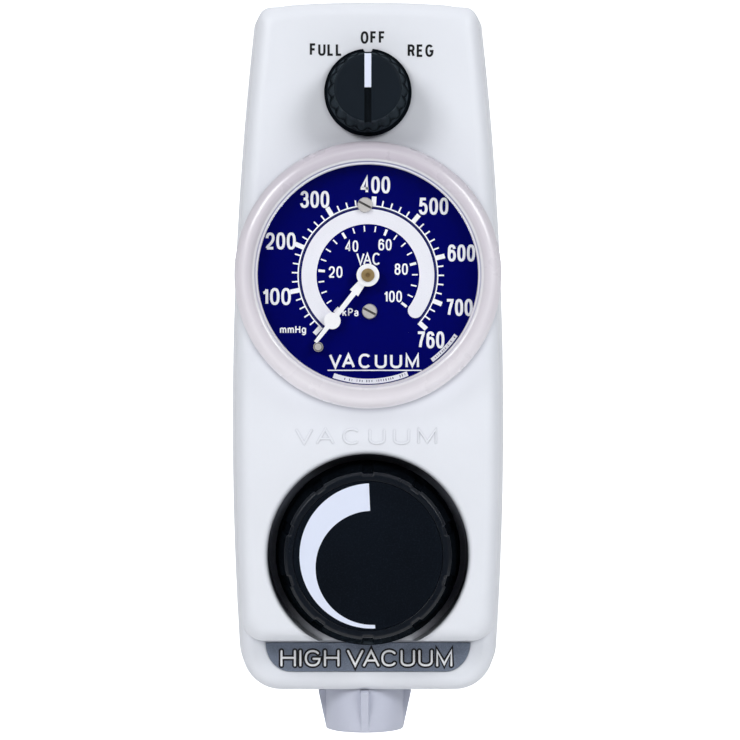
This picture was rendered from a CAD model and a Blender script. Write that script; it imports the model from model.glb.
"""A wall-mounted vacuum regulator: white housing, round gauge, two black knobs, an outlet below.

The front looks along -Y, +X is to the right as seen from the front, and +Z is up. Sizes are in
millimetres and are turned into metres (MM) where meshes and shaders are made.
"""
import math

import bmesh
import bpy
import numpy as np
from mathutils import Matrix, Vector


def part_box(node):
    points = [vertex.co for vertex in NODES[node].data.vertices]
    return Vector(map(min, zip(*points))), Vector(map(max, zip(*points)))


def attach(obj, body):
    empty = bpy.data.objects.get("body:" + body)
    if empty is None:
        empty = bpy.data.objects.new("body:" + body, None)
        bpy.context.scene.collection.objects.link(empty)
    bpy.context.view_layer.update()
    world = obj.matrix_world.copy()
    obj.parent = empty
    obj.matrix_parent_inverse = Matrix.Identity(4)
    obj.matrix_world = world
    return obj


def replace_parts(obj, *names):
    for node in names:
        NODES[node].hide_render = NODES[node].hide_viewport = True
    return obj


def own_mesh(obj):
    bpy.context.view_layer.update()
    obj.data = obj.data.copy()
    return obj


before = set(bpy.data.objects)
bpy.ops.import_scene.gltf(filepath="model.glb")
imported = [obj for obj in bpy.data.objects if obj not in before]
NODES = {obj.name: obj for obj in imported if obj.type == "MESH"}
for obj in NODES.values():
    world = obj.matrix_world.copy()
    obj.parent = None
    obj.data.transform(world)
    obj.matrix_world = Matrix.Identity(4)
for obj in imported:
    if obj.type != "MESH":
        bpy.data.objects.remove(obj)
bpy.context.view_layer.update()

MM = 0.001
scene = bpy.context.scene

# ---------------------------------------------------------------- places read from the CAD pieces


def box_mm(node):
    low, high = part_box(node)
    return (np.array(low) * 1000).tolist(), (np.array(high) * 1000).tolist()


def middle(node, axis):
    low, high = box_mm(node)
    return (low[axis] + high[axis]) / 2


HOUSING_LO, HOUSING_HI = box_mm("front_housing")
COVER_LO, COVER_HI = box_mm("back_cover")
KNOB_LO, KNOB_HI = box_mm("regulator_knob")
SELECTOR_LO, SELECTOR_HI = box_mm("selector_knob")
OUTLET_LO, OUTLET_HI = box_mm("outlet_port")
NUT_LO, NUT_HI = box_mm("inlet_nut")
FIXING_LO, FIXING_HI = box_mm("manifold_screws")

FRONT = HOUSING_LO[1]                       # y of the housing's front face
BACK = COVER_HI[1]                          # y of the back cover's rear face
GAUGE_Z = middle("gauge_lens", 2)
KNOB_Z = middle("knob_insert", 2)
SELECTOR_Z = middle("selector_knob", 2)
OUTLET_X = middle("outlet_port", 0)
OUTLET_Y = middle("outlet_port", 1)
LENS_R = box_mm("gauge_lens")[1][0]
KNOB_R = KNOB_HI[0]
SELECTOR_R = SELECTOR_HI[0]
DIAL_Y = box_mm("gauge_dial")[0][1]
LABEL_Y = box_mm("label_plate")[0][1]

# the camera looks straight back from this place, this far ahead of the front face
VIEW_X, VIEW_Z = 0.5, -40.0
VIEW_DISTANCE = 600.0

# ---------------------------------------------------------------- housing sizes
# A depth is measured back (+Y) from the front face.

TAPER = math.tan(math.radians(5.0))         # the sides spread this much per unit of depth
SPLIT = COVER_LO[1] + 1.6 - FRONT           # depth of the split line
STEP = LABEL_Y + 0.35 - FRONT               # depth of the lower panel, which holds the label
COVER_BACK = BACK - FRONT                   # depth of the cover's rear face
STEP_Z = -105.0                             # lower edge of the upper face
BOTTOM_Z = HOUSING_LO[2] + (SPLIT - STEP) * TAPER
TOP_Z = HOUSING_HI[2] - SPLIT * TAPER
HALF_WIDTH = HOUSING_HI[0] - SPLIT * TAPER
WIDEST_Z = -52.5
WALL = 2.5
UPPER_EDGE, LOWER_EDGE = 3.5, 3.0           # rounding of the two front faces' edges
UPPER_BOTTOM_R = 5.5                        # lower corners of the upper face
TOP_R, TOP_R_SPLIT = 3.2, 4.0               # upper corners at the panel and at the split line
BOTTOM_R, BOTTOM_R_SPLIT = 9.3, 11.4        # lower corners, likewise
WELL_R = 24.1                               # well around the regulator knob

# points along each side, corner, half of the top, and bottom of an outline
FINE, MEDIUM, COARSE = (36, 14, 14, 10), (14, 6, 8, 5), (12, 5, 6, 4)

# half spacing in x, z, and depth of the face in front of each pair of housing screws
CASE_SCREWS = ((20.2, 40.4, 0.0), (20.0, -109.3, STEP))

# ---------------------------------------------------------------- shader building
MATERIALS = {}


class Nodes:
    """Builds nodes in one tree. An input value may be a constant or another node's output."""

    def __init__(self, tree):
        self.tree = tree

    def feed(self, socket, value):
        if isinstance(value, bpy.types.NodeSocket):
            self.tree.links.new(value, socket)
        elif socket.type == "RGBA":
            socket.default_value = (*value, 1)
        else:
            socket.default_value = value

    def node(self, kind, inputs=None, **settings):
        made = self.tree.nodes.new(kind)
        for key, value in settings.items():
            setattr(made, key, value)
        for key, value in (inputs or {}).items():
            self.feed(made.inputs[key], value)
        return made

    def math(self, operation, *values):
        inputs = dict(enumerate(values))
        return self.node("ShaderNodeMath", inputs, operation=operation).outputs[0]

    def times(self, product, *factors):
        for factor in factors:
            product = self.math("MULTIPLY", product, factor)
        return product

    def remap(self, value, span=(0.0, 1.0), to=(0.0, 1.0), curve="LINEAR"):
        """Maps the input range span onto the output range to, clamped."""
        inputs = {"Value": value, "From Min": span[0], "From Max": span[1],
                  "To Min": to[0], "To Max": to[1]}
        return self.node("ShaderNodeMapRange", inputs, interpolation_type=curve).outputs[0]

    def remap_mm(self, value, span, to=(0.0, 1.0)):
        return self.remap(value, (span[0] * MM, span[1] * MM), to)

    def mix(self, factor, first, second):
        inputs = {0: factor, 6: first, 7: second}
        return self.node("ShaderNodeMix", inputs, data_type="RGBA").outputs[2]

    def blend(self, factor, first, second):
        """Mixes two shaders."""
        return self.node("ShaderNodeMixShader", {0: factor, 1: first, 2: second}).outputs[0]

    def xyz(self, vector):
        return self.node("ShaderNodeSeparateXYZ", {0: vector}).outputs


class Material(Nodes):
    """A new material's nodes, textured by object coordinates."""

    def __init__(self, name):
        self.material = bpy.data.materials.new(name)
        self.material.use_nodes = True
        super().__init__(self.material.node_tree)
        self.tree.nodes.clear()
        self.output = self.node("ShaderNodeOutputMaterial")
        self.place = self.node("ShaderNodeTexCoord").outputs["Object"]
        MATERIALS[name] = self.material

    def surface(self, shader):
        self.feed(self.output.inputs[0], shader)

    def principled(self, inputs):
        return self.node("ShaderNodeBsdfPrincipled", inputs).outputs[0]

    def noise(self, scale, detail=3.0, roughness=0.55, vector=None):
        inputs = {"Scale": scale, "Detail": detail, "Roughness": roughness,
                  "Vector": self.place if vector is None else vector}
        return self.node("ShaderNodeTexNoise", inputs).outputs["Fac"]

    def ramp(self, value, stops):
        """Colour ramp from [(position, colour)]."""
        made = self.node("ShaderNodeValToRGB", {0: value})
        elements = made.color_ramp.elements
        for element, (position, colour) in zip(elements, (stops[0], stops[-1])):
            element.position = position
            element.color = (*colour, 1)
        for position, colour in stops[1:-1]:
            elements.new(position).color = (*colour, 1)
        return made.outputs[0]

    def bump(self, height, strength, depth_mm, under=None):
        inputs = {"Strength": strength, "Distance": depth_mm * MM, "Height": height}
        if under is not None:
            inputs["Normal"] = under
        return self.node("ShaderNodeBump", inputs).outputs[0]

    def occlusion(self, distance_mm, samples):
        inputs = {"Distance": distance_mm * MM}
        return self.node("ShaderNodeAmbientOcclusion", inputs, samples=samples).outputs["AO"]

    def around(self, x, z, centre_z):
        """Height above the Y-wise axis at centre_z, and distance from that axis."""
        up = self.math("SUBTRACT", z, centre_z * MM)
        squares = self.math("ADD", self.times(x, x), self.times(up, up))
        return up, self.math("SQRT", squares)


def shade(colour, gain):
    return tuple(min(1.0, max(0.0, c * gain)) for c in colour)


def plastic(name, colour, rough, drift, grain, grain_mm, specular, coat,
            mottle=None, tint=None):
    """Moulded plastic: faint colour drift, uneven sheen and a fine eroded grain."""
    k = Material(name)
    stops = [(0.3, shade(colour, 1 - drift)), (0.7, shade(colour, 1 + drift))]
    colours = k.ramp(k.noise(scale=45.0), stops)
    specks = k.remap(k.noise(scale=grain * 0.6, detail=2.0), to=(0.0, 0.5))
    colours = k.mix(specks, colours, shade(colour, 1 - drift * 2.2))
    if mottle:
        spot_scale, spot_colour, amount = mottle
        spots = k.noise(scale=spot_scale, detail=4.0, roughness=0.6)
        colours = k.mix(k.remap(spots, (0.5, 0.68), (0.0, amount)), colours, spot_colour)
    if tint:
        colours = tint(k, colours)
    sheen = k.noise(scale=160.0, detail=4.0)
    relief = k.noise(scale=grain, detail=2.0, roughness=0.6)
    k.surface(k.principled({
        "Base Color": colours,
        "Roughness": k.remap(sheen, to=(rough - 0.05, rough + 0.06)),
        "Specular IOR Level": specular,
        "Coat Weight": coat,
        "Coat Roughness": 0.12,
        "Normal": k.bump(relief, strength=0.35, depth_mm=grain_mm),
    }))


def metal(name, colour, rough, drift=0.06, scratch_mm=0.003, pits=None, metallic=1.0,
          crevice_mm=None):
    """Machined or drawn metal with turning marks along one axis and fine wear."""
    k = Material(name)
    stops = [(0.25, shade(colour, 1 - drift)), (0.75, shade(colour, 1 + drift))]
    colours = k.ramp(k.noise(scale=120.0, detail=5.0), stops)
    stain = k.noise(scale=420.0, detail=6.0, roughness=0.7)
    colours = k.mix(k.remap(stain, (0.52, 0.7), (0.0, 0.35)), colours, shade(colour, 0.72))
    if crevice_mm:
        openness = k.math("POWER", k.occlusion(crevice_mm, samples=8), 2.4)
        dirt = k.remap(openness, (0.05, 0.9), (1.0, 0.0))
        colours = k.mix(dirt, colours, (0.030, 0.024, 0.022))
    stretched = k.node("ShaderNodeMapping", {"Scale": (1.0, 4.0, 1.0), "Vector": k.place})
    marks = k.noise(scale=5200.0, detail=3.0, roughness=0.6, vector=stretched.outputs[0])
    normal = k.bump(marks, strength=0.25, depth_mm=scratch_mm)
    if pits:
        cells = k.node("ShaderNodeTexVoronoi", {"Scale": pits, "Vector": k.place})
        normal = k.bump(cells.outputs["Distance"], strength=0.8, depth_mm=0.04, under=normal)
    k.surface(k.principled({
        "Base Color": colours,
        "Metallic": metallic,
        "Roughness": k.remap(marks, to=(rough - 0.07, rough + 0.10)),
        "Normal": normal,
    }))


def housing_tint(k, colours):
    """Darkens the knob's well, the line around the gauge's rim and concave corners."""
    x, y, z = k.xyz(k.place)
    front = k.remap_mm(y, (FRONT + 13, FRONT + 14), (1.0, 0.0))     # spares the back

    # the wall of the well darkens with depth, less so at its open lower end
    up, radius = k.around(x, z, KNOB_Z)
    inside = k.remap_mm(radius, (WELL_R + 0.35, WELL_R + 1.05), (1.0, 0.0))
    depth = k.times(k.remap_mm(y, (FRONT + 0.05, FRONT + 1.5)), front)
    open_end = k.remap_mm(up, (-21.0, -11.0), (1.0, 0.0))
    closed = k.math("SUBTRACT", 1.0, k.times(open_end, 0.72))
    dark = k.times(inside, depth, closed)
    left = k.remap_mm(x, (-24, -8), (1.0, 0.0))
    well = k.mix(left, (0.036, 0.044, 0.056), (0.080, 0.092, 0.120))
    colours = k.mix(dark, colours, well)

    # line where the gauge's rim meets the housing, strongest below
    up, radius = k.around(x, z, GAUGE_Z)
    line = k.math("POWER", k.remap_mm(radius, (LENS_R - 0.1, LENS_R + 1.9), (1.0, 0.0)), 2.0)
    below = k.times(k.remap_mm(up, (-26, 4), (1.0, 0.22)), front)
    colours = k.mix(k.times(line, below, 0.62), colours, (0.22, 0.22, 0.27))

    # soft line in concave corners: the step, raised letters, joints
    corners = k.remap(k.occlusion(1.5, samples=10), (0.45, 0.93), (0.42, 0.0))
    return k.mix(corners, colours, (0.24, 0.245, 0.30))


def thin_gloss(name, gloss, rough):
    """Near-black moulding with only a thin, uneven sheen."""
    k = Material(name)
    stops = [(0.3, (0.0022, 0.0032, 0.0048)), (0.7, (0.0034, 0.0048, 0.0072))]
    relief = k.noise(scale=2800.0, detail=2.0, roughness=0.6)
    normal = k.bump(relief, strength=0.35, depth_mm=0.004)
    diffuse = k.node("ShaderNodeBsdfDiffuse", {
        "Color": k.ramp(k.noise(scale=300.0), stops),
        "Normal": normal,
    })
    sheen = k.noise(scale=160.0, detail=4.0)
    glossy = k.node("ShaderNodeBsdfGlossy", {
        "Color": (0.70, 0.88, 1.0),
        "Roughness": k.remap(sheen, to=(rough - 0.05, rough + 0.08)),
        "Normal": normal,
    })
    amount = k.remap(k.noise(scale=220.0, detail=2.0), to=(gloss * 0.8, gloss * 1.2))
    k.surface(k.blend(amount, diffuse.outputs[0], glossy.outputs[0]))


# position across the lens rim from r = 26 mm to its edge, and the tint there: twin bright lines
# inside, a greyer middle with one highlight roll, a darker outer edge
RIM_TINTS = [
    (0.0, (0.70, 0.72, 0.86)), (0.045, (0.97, 0.97, 1.0)), (0.088, (0.97, 0.97, 1.0)),
    (0.112, (0.30, 0.31, 0.52)), (0.134, (0.30, 0.31, 0.52)), (0.158, (0.95, 0.95, 0.98)),
    (0.215, (0.97, 0.97, 0.99)), (0.262, (0.66, 0.62, 0.68)), (0.34, (0.72, 0.67, 0.74)),
    (0.47, (0.80, 0.75, 0.82)), (0.60, (0.88, 0.84, 0.90)), (0.72, (0.78, 0.735, 0.80)),
    (0.90, (0.76, 0.72, 0.78)), (0.965, (0.64, 0.60, 0.68)), (1.0, (0.60, 0.565, 0.65)),
]


def lens_window(k):
    """See-through, with a reflection on its outer side that grows towards grazing angles."""
    glossy = k.node("ShaderNodeBsdfGlossy", {
        "Color": (0.80, 0.90, 1.0),
        "Roughness": k.remap(k.noise(scale=35.0), to=(0.03, 0.09)),
    })
    fresnel = k.node("ShaderNodeFresnel", {"IOR": 1.30}).outputs[0]
    through = k.node("ShaderNodeBsdfTransparent", {0: (0.995, 0.995, 1.0)})
    backfacing = k.node("ShaderNodeNewGeometry").outputs["Backfacing"]
    amount = k.times(fresnel, k.math("SUBTRACT", 1.0, backfacing))
    return k.blend(amount, through.outputs[0], glossy.outputs[0])


def lens_rim(k, x, up, radius):
    """Milky rolled rim around the window."""
    tint = k.ramp(k.remap_mm(radius, (26.0, LENS_R)), RIM_TINTS)
    low = k.remap_mm(up, (-30, 24), (1.0, 0.0))
    tint = k.mix(k.remap(low, to=(0.0, 0.75)), tint, (0.90, 0.865, 0.91))

    # shade on the inner side at the left, and around the crown
    left = k.remap_mm(x, (-30, -14), (1.0, 0.0))
    inner_side = k.remap_mm(radius, (27.9, 29.0), (1.0, 0.0))
    outside_lines = k.remap_mm(radius, (27.22, 27.4))
    shaded = k.times(left, k.times(inner_side, outside_lines), k.math("SUBTRACT", 0.70, low))
    tint = k.mix(shaded, tint, (0.44, 0.42, 0.47))
    crown = k.remap_mm(up, (16, 30), (0.0, 0.55))
    tint = k.mix(k.times(crown, outside_lines), tint, (0.64, 0.58, 0.66))

    # soft streaks that run round the rim
    angle = k.math("ARCTAN2", x, up)
    along = {0: k.times(angle, 1.1), 1: k.times(radius, 900.0)}
    vector = k.node("ShaderNodeCombineXYZ", along).outputs[0]
    streaks = k.noise(scale=1.6, detail=4.0, roughness=0.5, vector=vector)
    streaks = k.times(k.remap(streaks, (0.45, 0.80), (0.0, 0.30)), outside_lines)
    tint = k.mix(streaks, tint, (0.95, 0.93, 0.96))
    cloud = k.noise(scale=90.0, detail=4.0, roughness=0.6)
    tint = k.mix(k.remap(cloud, (0.30, 0.8), (0.0, 0.14)), tint, (0.58, 0.53, 0.60))
    tint = k.mix(0.18, tint, (0.0, 0.0, 0.0))

    return k.principled({
        "Base Color": tint,
        "Roughness": k.remap(cloud, to=(0.22, 0.34)),
        "IOR": 1.49,
        "Coat Weight": 0.25,
        "Coat Roughness": 0.10,
        "Emission Color": (0.96, 0.93, 0.98),
        "Emission Strength": k.times(low, k.remap_mm(radius, (27.5, 31.2)), 0.20),
        "Normal": k.bump(k.noise(scale=60.0, detail=2.0), strength=0.05, depth_mm=0.05),
    })


def lens_material():
    """Clear window over the dial, turning into a rolled rim outside it."""
    k = Material("lens_cover")
    x, _, z = k.xyz(k.place)
    up, radius = k.around(x, z, GAUGE_Z)
    on_rim = k.remap_mm(radius, (26.08, 26.22))
    solid = k.blend(on_rim, lens_window(k), lens_rim(k, x, up, radius))
    shadow_ray = k.node("ShaderNodeLightPath").outputs["Is Shadow Ray"]
    clear = k.node("ShaderNodeBsdfTransparent").outputs[0]
    k.surface(k.blend(k.times(shadow_ray, 0.80), solid, clear))     # softens its shadow
    k.material.use_transparent_shadow = True


# name, colour, roughness, colour drift, grain scale, grain depth (mm), specular, coat,
# and for some (mottle scale, mottle colour, mottle amount)
PLASTICS = (
    ("outlet_plastic", (0.565, 0.585, 0.685), 0.34, 0.02, 2200.0, 0.004, 0.4, 0.05),
    ("control_black", (0.0036, 0.0062, 0.0112), 0.28, 0.10, 2600.0, 0.004, 0.36, 0.0),
    ("control_black_satin", (0.0075, 0.0120, 0.0180), 0.55, 0.12, 3200.0, 0.008, 0.08, 0.0),
    ("insert_black", (0.0028, 0.0050, 0.0094), 0.70, 0.25, 2900.0, 0.030, 0.05, 0.0,
     (2500.0, (0.009, 0.014, 0.022), 0.6)),
    ("mark_white", (0.74, 0.79, 0.93), 0.40, 0.01, 3000.0, 0.002, 0.4, 0.0),
    ("print_black", (0.006, 0.006, 0.008), 0.5, 0.1, 4000.0, 0.002, 0.3, 0.0),
    ("print_white", (0.96, 0.965, 0.98), 0.45, 0.01, 4000.0, 0.002, 0.4, 0.0),
    ("print_grey", (0.885, 0.885, 0.93), 0.5, 0.03, 5200.0, 0.004, 0.4, 0.0,
     (6500.0, (0.78, 0.79, 0.86), 0.6)),
    ("print_line", (0.035, 0.04, 0.10), 0.5, 0.05, 4000.0, 0.002, 0.3, 0.0),
    ("label_panel", (0.165, 0.195, 0.255), 0.40, 0.10, 3600.0, 0.006, 0.3, 0.05,
     (4200.0, (0.27, 0.31, 0.40), 0.75)),
    ("dial_navy", (0.0001, 0.0009, 0.118), 0.60, 0.06, 4200.0, 0.002, 0.015, 0.0),
    ("pointer_white", (0.96, 0.96, 0.96), 0.35, 0.01, 3500.0, 0.002, 0.4, 0.0),
    ("gauge_case", (0.60, 0.61, 0.65), 0.42, 0.02, 2600.0, 0.004, 0.5, 0.0),
    ("rubber", (0.018, 0.018, 0.020), 0.62, 0.15, 1800.0, 0.010, 0.35, 0.0),
    ("diaphragm_rubber", (0.028, 0.024, 0.022), 0.68, 0.2, 1500.0, 0.012, 0.3, 0.0),
)


def make_materials():
    plastic("housing_plastic", (0.800, 0.820, 0.868), rough=0.42, drift=0.012, grain=2400.0,
            grain_mm=0.003, specular=0.25, coat=0.04, tint=housing_tint)
    for row in PLASTICS:
        plastic(*row)
    metal("brass", (0.74, 0.53, 0.23), rough=0.27)
    metal("brass_dull", (0.62, 0.44, 0.20), rough=0.36, drift=0.20, scratch_mm=0.012,
          metallic=0.75, crevice_mm=0.6)
    metal("nickel_screw", (0.84, 0.81, 0.76), rough=0.30, drift=0.12, scratch_mm=0.014,
          metallic=0.45, crevice_mm=0.7)
    metal("steel_zinc", (0.60, 0.61, 0.63), rough=0.30)
    metal("spring_steel", (0.42, 0.43, 0.45), rough=0.26)
    metal("chrome_plate", (0.70, 0.71, 0.73), rough=0.11, drift=0.02, scratch_mm=0.001)
    metal("aluminium", (0.70, 0.71, 0.72), rough=0.40, pits=5200.0)
    metal("bronze", (0.58, 0.34, 0.16), rough=0.33)
    metal("sinter", (0.42, 0.29, 0.15), rough=0.55, pits=2600.0)
    thin_gloss("control_black_flutes", gloss=0.060, rough=0.19)
    thin_gloss("control_black_skirt", gloss=0.0025, rough=0.30)
    thin_gloss("control_black_flank", gloss=0.036, rough=0.22)
    lens_material()


# ---------------------------------------------------------------- mesh building


def ease(t):
    t = min(1.0, max(0.0, t))
    return t * t * (3 - 2 * t)


def link_mesh(name, verts, faces):
    mesh = bpy.data.meshes.new(name)
    mesh.from_pydata([tuple(v) for v in verts], [], faces)
    obj = bpy.data.objects.new(name, mesh)
    scene.collection.objects.link(obj)
    return obj


def tidy(obj, merge=None, degenerate=None):
    """Turns faces outwards, first merging points and dropping tiny edges if asked (metres)."""
    bm = bmesh.new()
    bm.from_mesh(obj.data)
    if merge:
        bmesh.ops.remove_doubles(bm, verts=bm.verts, dist=merge)
    if degenerate:
        bmesh.ops.dissolve_degenerate(bm, edges=bm.edges, dist=degenerate)
    bmesh.ops.recalc_face_normals(bm, faces=bm.faces)
    bm.to_mesh(obj.data)
    bm.free()


def finish(obj, material, body=None, angle=35.0, smooth=True):
    """Gives a piece its material, shading, moving body and colour slot."""
    mesh = obj.data
    mesh.materials.clear()
    mesh.materials.append(MATERIALS[material])
    tidy(obj)
    if smooth:
        mesh.shade_smooth()
        mesh.set_sharp_from_angle(angle=math.radians(angle))
    if body:
        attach(obj, body)
    return obj


def weight_normals(obj):
    modifier = obj.modifiers.new("weighted", "WEIGHTED_NORMAL")
    modifier.mode = "FACE_AREA"
    modifier.keep_sharp = True
    modifier.weight = 80


def bevel(obj, width):
    modifier = obj.modifiers.new("edge", "BEVEL")
    modifier.width = width * MM
    modifier.segments = 2
    modifier.limit_method = "ANGLE"
    modifier.angle_limit = math.radians(40)


def ring_faces(radii, steps):
    """Faces of a closed profile carried round in steps, leaving out edges on the axis."""
    count = len(radii)
    faces = []
    for j in range(steps):
        k = (j + 1) % steps
        for i in range(count):
            n = (i + 1) % count
            if abs(radii[i]) < 1e-9 and abs(radii[n]) < 1e-9:
                continue
            faces.append((j * count + i, j * count + n, k * count + n, k * count + i))
    return faces


def spin(profile, x=0.0, z=0.0, steps=192, radial=None):
    """Closed profile [(r, y)] turned about the Y-wise axis at (x, z).

    radial(r, y, angle) may change the radius; the angle runs clockwise from the top.
    """
    verts = []
    for j in range(steps):
        angle = 2 * math.pi * j / steps
        sine, cosine = math.sin(angle), math.cos(angle)
        for r, y in profile:
            reach = radial(r, y, angle) if radial else r
            verts.append(((x + reach * sine) * MM, y * MM, (z + reach * cosine) * MM))
    return verts, ring_faces([r for r, _ in profile], steps)


def turned(name, profile, z, material, body=None, steps=192, radial=None,
           angle=35.0):
    """Finished turned piece centred on x = 0."""
    obj = link_mesh(name, *spin(profile, 0, z, steps, radial))
    tidy(obj, merge=1e-7, degenerate=1e-8)
    return finish(obj, material, body, angle)


def solid(verts, faces, name="part"):
    """Closed mesh without a material, ready for booleans."""
    obj = link_mesh(name, verts, faces)
    tidy(obj, merge=1e-8)
    return obj


def cylinder(r, y0, y1, x, z, steps=96):
    return solid(*spin([(0, y0), (r, y0), (r, y1), (0, y1)], x, z, steps))


def prism(points, y0, y1):
    """Polygon [(x, z)] carried from y0 to y1."""
    n = len(points)
    verts = [(x * MM, y * MM, z * MM) for y in (y0, y1) for x, z in points]
    faces = [tuple(range(n)), tuple(range(2 * n - 1, n - 1, -1))]
    faces += [(i, i + n, (i + 1) % n + n, (i + 1) % n) for i in range(n)]
    return solid(verts, faces)


def loft(slices):
    """Solid through [(depth, outline)] whose outlines have equal counts."""
    n = len(slices[0][1])
    verts = [(x * MM, (FRONT + depth) * MM, z * MM) for depth, pts in slices for x, z in pts]
    faces = []
    for k in range(len(slices) - 1):
        for i in range(n):
            j = (i + 1) % n
            faces.append((k * n + i, k * n + j, (k + 1) * n + j, (k + 1) * n + i))
    faces.append(tuple(range(n - 1, -1, -1)))
    faces.append(tuple((len(slices) - 1) * n + i for i in range(n)))
    return solid(verts, faces)


def boolean(target, tools, operation):
    """Applies each tool to the target and removes the tool."""
    for tool in tools:
        modifier = target.modifiers.new("b", "BOOLEAN")
        modifier.operation = operation
        modifier.solver = "EXACT"
        modifier.object = tool
        depsgraph = bpy.context.evaluated_depsgraph_get()
        result = bpy.data.meshes.new_from_object(target.evaluated_get(depsgraph))
        target.modifiers.clear()
        old = target.data
        target.data = result
        bpy.data.meshes.remove(old)
        bpy.data.objects.remove(tool)
    return target


def rounded(points, steps=4):
    """Closed profile [(r, y, fillet radius)] with its corners filleted, as [(r, y)]."""
    out = []
    count = len(points)
    places = [np.array(point[:2], float) for point in points]
    for i, corner in enumerate(places):
        radius = points[i][2]
        if radius <= 0:
            out.append(tuple(corner))
            continue
        back = places[i - 1] - corner
        ahead = places[(i + 1) % count] - corner
        back_length, ahead_length = np.linalg.norm(back), np.linalg.norm(ahead)
        back, ahead = back / back_length, ahead / ahead_length
        half = math.acos(float(np.clip(back @ ahead, -1, 1))) / 2
        if half > math.radians(88):                 # nearly straight
            out.append(tuple(corner))
            continue
        setback = min(radius / math.tan(half), 0.49 * back_length, 0.49 * ahead_length)
        radius = setback * math.tan(half)
        bisector = (back + ahead) / np.linalg.norm(back + ahead)
        centre = corner + bisector * (radius / math.sin(half))
        start = corner + back * setback - centre
        end = corner + ahead * setback - centre
        cosine = start @ end / (np.linalg.norm(start) * np.linalg.norm(end))
        sweep = math.acos(float(np.clip(cosine, -1, 1)))
        for k in range(steps + 1):
            t = k / steps
            spoke = start
            if sweep > 1e-6:
                spoke = (math.sin((1 - t) * sweep) * start
                         + math.sin(t * sweep) * end) / math.sin(sweep)
            out.append(tuple(centre + spoke))
    return out


def densify(profile, r_min, longest, step, where):
    """Splits edges beyond r_min that are over longest and start where(y) is true."""
    out = []
    for i, (r, y) in enumerate(profile):
        r2, y2 = profile[(i + 1) % len(profile)]
        out.append((r, y))
        length = math.hypot(r2 - r, y2 - y)
        if r > r_min and r2 > r_min and length > longest and where(y):
            parts = int(length / step)
            for j in range(1, parts):
                out.append((r + (r2 - r) * j / parts, y + (y2 - y) * j / parts))
    return out


# ---------------------------------------------------------------- housing


def side_x(z, grow):
    """Half width of the bowed sides."""
    return HALF_WIDTH + grow - (z - WIDEST_Z) ** 2 / 1800.0


def top_z(x, grow):
    """Height of the crowned top."""
    return TOP_Z + grow - x * x / 568.0


def outline(grow, bottom, r_bottom, r_top, counts=FINE):
    """Housing outline [(x, z)], grown outwards, anticlockwise from the lower right."""
    n_side, n_corner, n_top, n_bottom = counts
    top_cz = top_z(HALF_WIDTH - 6, grow) - r_top
    top_cx = side_x(top_cz, grow) - r_top
    low_cz = bottom + r_bottom
    low_cx = side_x(low_cz, grow) - r_bottom

    def corner(x, z, r, quarter, indices):
        angles = [math.pi / 2 * (quarter + i / n_corner) for i in indices]
        return [(x + r * math.cos(a), z + r * math.sin(a)) for a in angles]

    pts = []
    for i in range(n_side + 1):
        z = low_cz + (top_cz - low_cz) * i / n_side
        pts.append((side_x(z, grow), z))
    pts += corner(top_cx, top_cz, r_top, 0, range(1, n_corner + 1))
    corner_top = top_cz + r_top
    for i in range(1, 2 * n_top):
        # ease from the corner's top onto the crowned top edge
        x = top_cx * (1 - i / n_top)
        z = top_z(x, grow)
        blend = ease((top_cx - abs(x)) / 5.0)
        pts.append((x, corner_top * (1 - blend) + z * blend if corner_top < z else z))
    pts += corner(-top_cx, top_cz, r_top, 1, range(n_corner))
    for i in range(n_side + 1):
        z = top_cz + (low_cz - top_cz) * i / n_side
        pts.append((-side_x(z, grow), z))
    pts += corner(-low_cx, low_cz, r_bottom, 2, range(1, n_corner + 1))
    pts += [(-low_cx + 2 * low_cx * i / n_bottom, bottom) for i in range(1, n_bottom)]
    pts += corner(low_cx, low_cz, r_bottom, 3, range(n_corner))
    return pts


def inset(points, distance):
    """Moves each point inwards along its normal by distance(z)."""
    places = np.array(points)
    along = np.roll(places, -1, 0) - np.roll(places, 1, 0)
    along /= np.linalg.norm(along, axis=1)[:, None]
    outwards = np.stack([along[:, 1], -along[:, 0]], 1)
    amounts = np.array([distance(z) for _, z in points])
    return [tuple(q) for q in places - outwards * amounts[:, None]]


def full_outline(depth):
    """Whole outline, lower panel included, at a depth from STEP to SPLIT."""
    t = (depth - STEP) / (SPLIT - STEP)
    return outline(depth * TAPER, BOTTOM_Z - (depth - STEP) * TAPER,
                   BOTTOM_R + (BOTTOM_R_SPLIT - BOTTOM_R) * t,
                   TOP_R + (TOP_R_SPLIT - TOP_R) * t)


def split_outline(shrink, sharpen=0.0):
    """Outline at the split line, shrunk all round."""
    return outline(SPLIT * TAPER - shrink, BOTTOM_Z - (SPLIT - STEP) * TAPER + shrink,
                   BOTTOM_R_SPLIT - sharpen, TOP_R_SPLIT - sharpen)


def cover_outline(grow, r_bottom, r_top, counts=FINE):
    return outline(grow, BOTTOM_Z - (grow - STEP * TAPER), r_bottom, r_top, counts)


def upper_solid():
    slices = []
    for i in range(13):
        angle = math.pi / 2 * i / 12
        depth = UPPER_EDGE * (1 - math.cos(angle))
        grow = depth * TAPER - UPPER_EDGE * (1 - math.sin(angle))
        slices.append((depth, outline(grow, STEP_Z - grow, UPPER_BOTTOM_R, TOP_R)))
    end = STEP + 0.5                                # overlaps the lower solid
    slices.append((end, outline(end * TAPER - 0.05, STEP_Z - end * TAPER,
                                UPPER_BOTTOM_R, TOP_R)))
    return loft(slices)


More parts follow.
